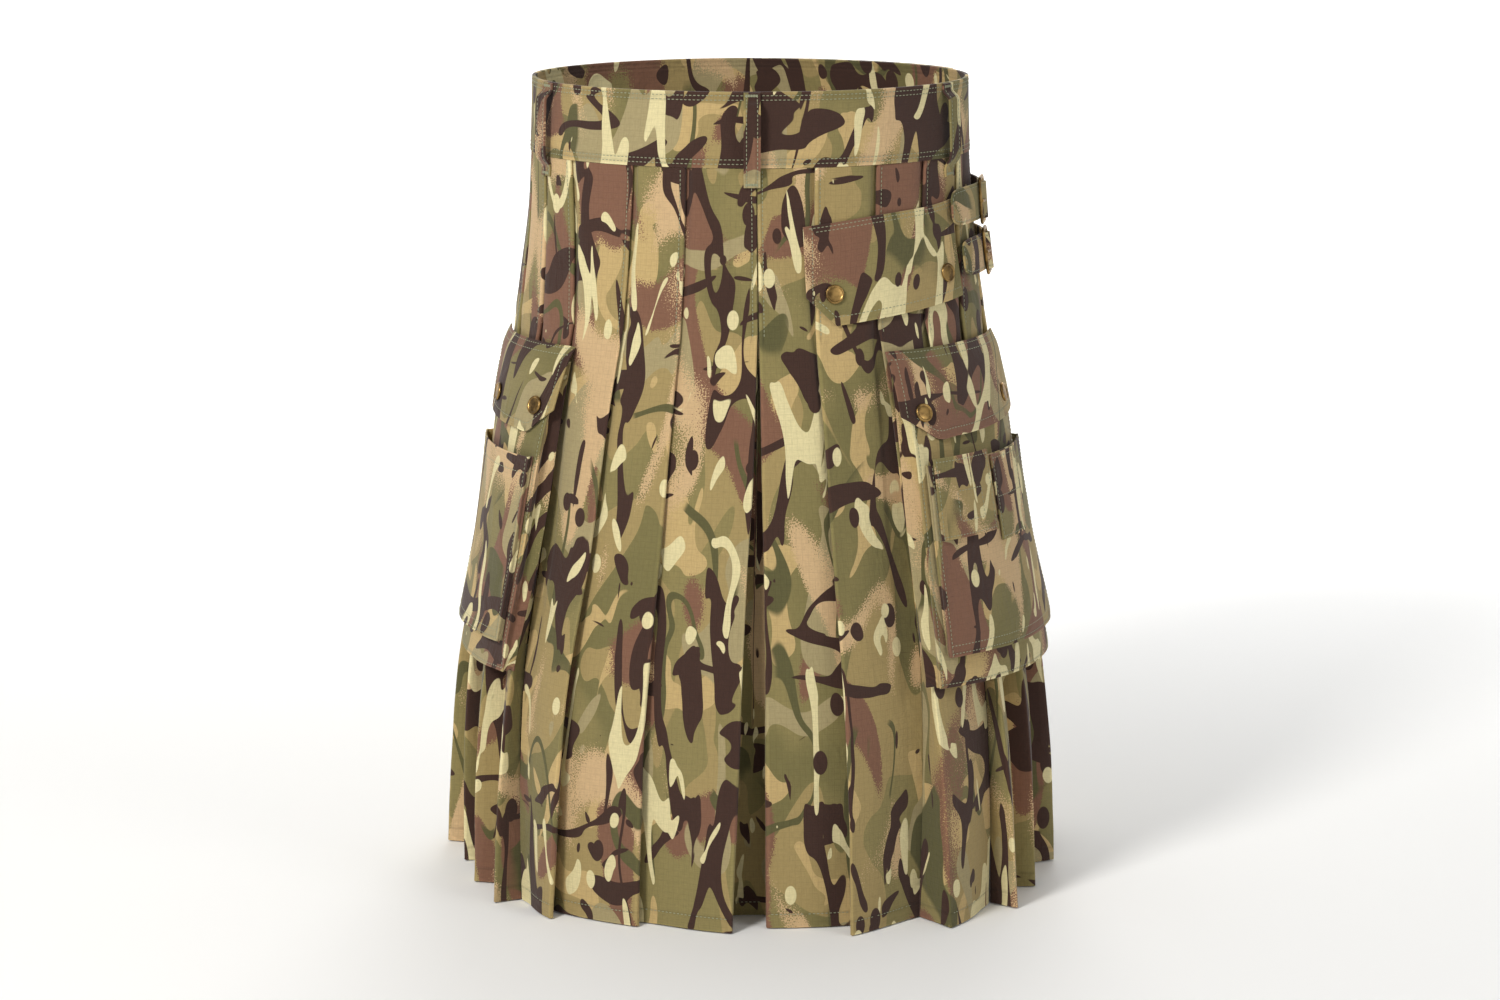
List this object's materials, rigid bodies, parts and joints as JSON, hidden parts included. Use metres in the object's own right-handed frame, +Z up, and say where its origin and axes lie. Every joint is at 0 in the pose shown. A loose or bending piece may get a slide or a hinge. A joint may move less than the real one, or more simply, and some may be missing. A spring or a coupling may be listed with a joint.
{
  "type": "utility kilt, pleated wrap skirt with cargo pockets",
  "caption": "Knee-length utility kilt in camouflage ripstop, pleated round back and hips, flat aprons in front, belt loops, cargo pockets, buckled hip straps, open waist and hem",
  "frame": {"origin": "centre of the waist opening, half-way up the waistband, where a waist holds the kilt", "axes": "+Z up, the back of the kilt faces -Y, the wearer's right hip is at +X"},
  "size_m": [0.4723, 0.3809, 0.6051],
  "materials": {
    "camo_cloth": null,
    "antique_brass": "antique satin"
  },
  "bodies": {
    "root": {"waistband": "camo_cloth", "pleats_left": "camo_cloth", "pleats_back": "camo_cloth", "pleats_right": "camo_cloth", "outer_apron": "camo_cloth", "under_apron": "camo_cloth", "loop_back": "camo_cloth", "loop_left": "camo_cloth", "loop_right": "camo_cloth", "loop_front_left": "camo_cloth", "loop_front_right": "camo_cloth", "hip_flap": "camo_cloth", "hip_snap_back": "antique_brass", "hip_snap_front": "antique_brass", "strap_upper": "camo_cloth", "buckle_upper": "antique_brass", "strap_lower": "camo_cloth", "buckle_lower": "antique_brass", "right_bag": "camo_cloth", "right_patch": "camo_cloth", "right_small_flap": "camo_cloth", "right_pen_slot": "camo_cloth", "right_flap": "camo_cloth", "right_snap_back": "antique_brass", "right_snap_front": "antique_brass", "left_bag": "camo_cloth", "left_patch": "camo_cloth", "left_flap": "camo_cloth", "left_snap_back": "antique_brass", "left_snap_front": "antique_brass"}
  },
  "joints": []
}
